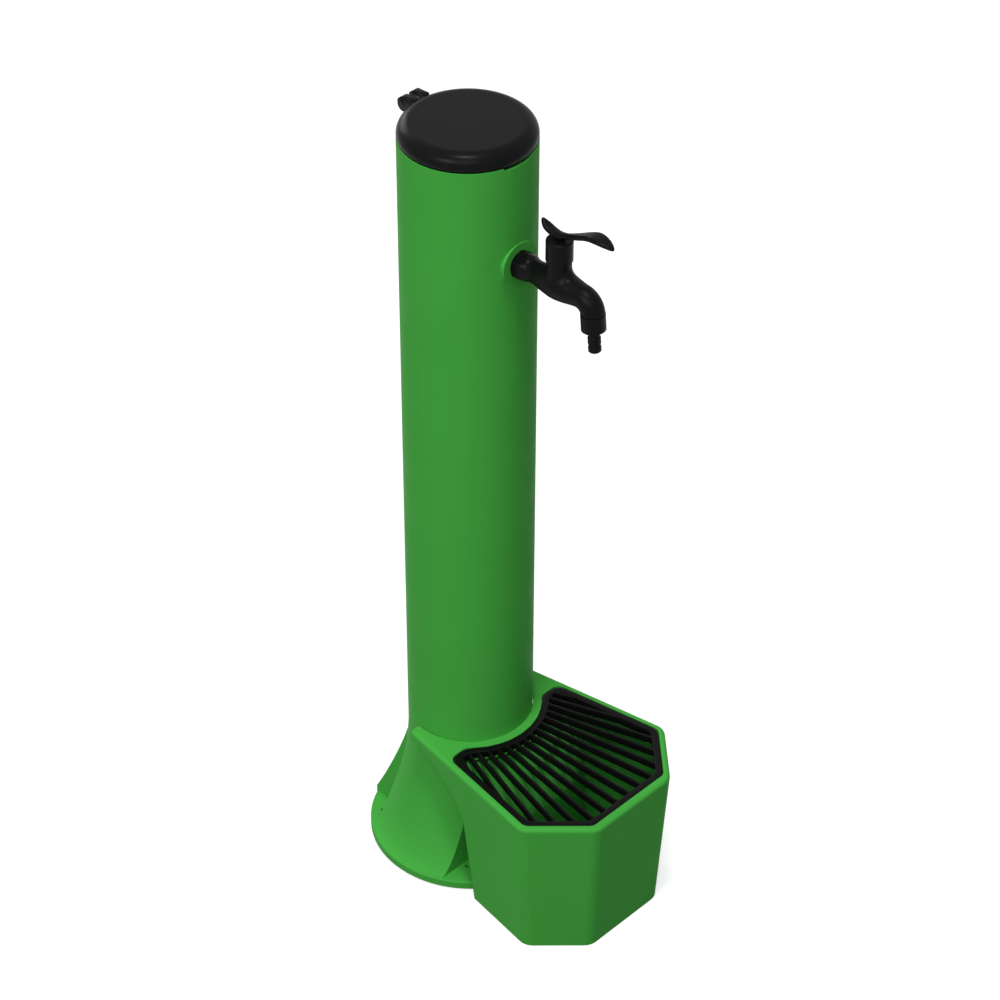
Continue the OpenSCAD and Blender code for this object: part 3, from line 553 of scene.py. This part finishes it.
# ledge: a narrow shelf along the bucket's hollow back, under the rear ends of the bars
ledge = {
    "innerRadius": 0.0888,
    "outerRadius": 0.0952,
    "lowZ": 0.1846,
    "highZ": 0.1863,
    "reach": 44,                 # degrees to each side of the front
    "steps": 44,
}

ledgeSection = [
    (ledge["innerRadius"], ledge["lowZ"]), (ledge["outerRadius"], ledge["lowZ"]),
    (ledge["outerRadius"], ledge["highZ"]), (ledge["innerRadius"], ledge["highZ"]),
]
ledgeShell = bmesh.new()
sections = []
for k in range(ledge["steps"] + 1):
    turn = radians(ledge["reach"] * (2 * k / ledge["steps"] - 1))
    sections.append([ledgeShell.verts.new((radius * sin(turn), -radius * cos(turn), z))
                     for radius, z in ledgeSection])
for near, far in zip(sections, sections[1:]):
    for k in range(len(ledgeSection)):
        ahead = (k + 1) % len(ledgeSection)
        ledgeShell.faces.new((near[k], near[ahead], far[ahead], far[k]))
ledgeShell.faces.new(sections[0])
ledgeShell.faces.new(sections[-1])
bmesh.ops.recalc_face_normals(ledgeShell, faces=ledgeShell.faces)
ledgeMesh = bpy.data.meshes.new("bucketLedge")
ledgeShell.to_mesh(ledgeMesh)
ledgeShell.free()
ledgePiece = addPiece("bucketLedge", ledgeMesh, "greenPlastic", "bucket", "green")
ledgePiece.data.shade_flat()
print("ledge is in")

# floor, lights and background
setting = {
    "floorSize": 40,
    "floorZ": -0.0008,           # just under the foot, so that the two share no plane
    "floorSeen": 0.45,           # tone of the floor in the picture
    "floorGlow": 0.72,           # what the picture's floor gives of itself
    "floorBounce": 0.15,         # tone that lights the object from below
    "floorRoughness": 0.9,
    "skyLevel": 0.28,            # soft light from all round
    "lampDistance": 7,
    "lampTarget": (0, -0.1, 0.45),
}
lamps = {                        # azimuth, degrees above the floor, power, size
    "topLamp": (-57, 79, 200, 1.0),
    "leftLamp": (-82, 35, 188, 2.4),
    "frontLamp": (-48, 40, 86, 2.4),
    "backLamp": (165, 22, 110, 3.0),
}


def seenRays(nodes, links):
    # 1 for what the camera sees, straight, in a gloss or through glass, 0 for what only lights the object
    path = nodes.new("ShaderNodeLightPath")
    seen = path.outputs["Is Camera Ray"]
    for kind in ("Is Glossy Ray", "Is Transmission Ray"):
        either = nodes.new("ShaderNodeMath")
        either.operation = "MAXIMUM"
        links.new(seen, either.inputs[0])
        links.new(path.outputs[kind], either.inputs[1])
        seen = either.outputs["Value"]
    return seen


def grey(level):
    return (level, level, level)


half = setting["floorSize"] / 2
floorCorners = [(x * half, y * half, setting["floorZ"]) for x, y in ((-1, -1), (1, -1), (1, 1), (-1, 1))]
floorMesh = bpy.data.meshes.new("floor")
floorMesh.from_pydata(floorCorners, [], [(0, 1, 2, 3)])
floor = bpy.data.objects.new("floor", floorMesh)
bpy.context.collection.objects.link(floor)
floorMaterial, floorNodes, floorLinks, floorShader = newMaterial("paleFloor")
seen = seenRays(floorNodes, floorLinks)
floorTone = addMix(floorNodes, floorLinks, seen, grey(setting["floorBounce"]), grey(setting["floorSeen"]))
floorGlow = addMix(floorNodes, floorLinks, seen, grey(0), grey(setting["floorGlow"]))
floorLinks.new(floorTone, floorShader.inputs["Base Color"])
floorLinks.new(floorGlow, floorShader.inputs["Emission Color"])
floorShader.inputs["Emission Strength"].default_value = 1
floorShader.inputs["Roughness"].default_value = setting["floorRoughness"]
floorShader.inputs["Specular IOR Level"].default_value = 0
floor.data.materials.append(floorMaterial)


def addLamp(name, azimuth, height, power, size):
    lampData = bpy.data.lights.new(name, "AREA")
    lampData.shape = "SQUARE"
    lampData.size = size
    lampData.energy = power
    lamp = bpy.data.objects.new(name, lampData)
    bpy.context.collection.objects.link(lamp)
    turn, rise = radians(azimuth), radians(height)
    direction = Vector((sin(turn) * cos(rise), -cos(turn) * cos(rise), sin(rise)))
    lamp.location = Vector(setting["lampTarget"]) + setting["lampDistance"] * direction
    lamp.rotation_euler = (-direction).to_track_quat("-Z", "Y").to_euler()


for lampName, place in lamps.items():
    addLamp(lampName, *place)

world = bpy.data.worlds.new("world")
bpy.context.scene.world = world
world.use_nodes = True
worldNodes, worldLinks = world.node_tree.nodes, world.node_tree.links
sky = worldNodes["Background"]
sky.inputs["Color"].default_value = (1, 1, 1, 1)
skyLevel = worldNodes.new("ShaderNodeMapRange")
skyLevel.inputs["To Min"].default_value = setting["skyLevel"]
skyLevel.inputs["To Max"].default_value = 1
worldLinks.new(seenRays(worldNodes, worldLinks), skyLevel.inputs["Value"])
worldLinks.new(skyLevel.outputs["Result"], sky.inputs["Strength"])

bpy.context.scene.view_settings.view_transform = "Standard"
print("floor, lamps and world are set")
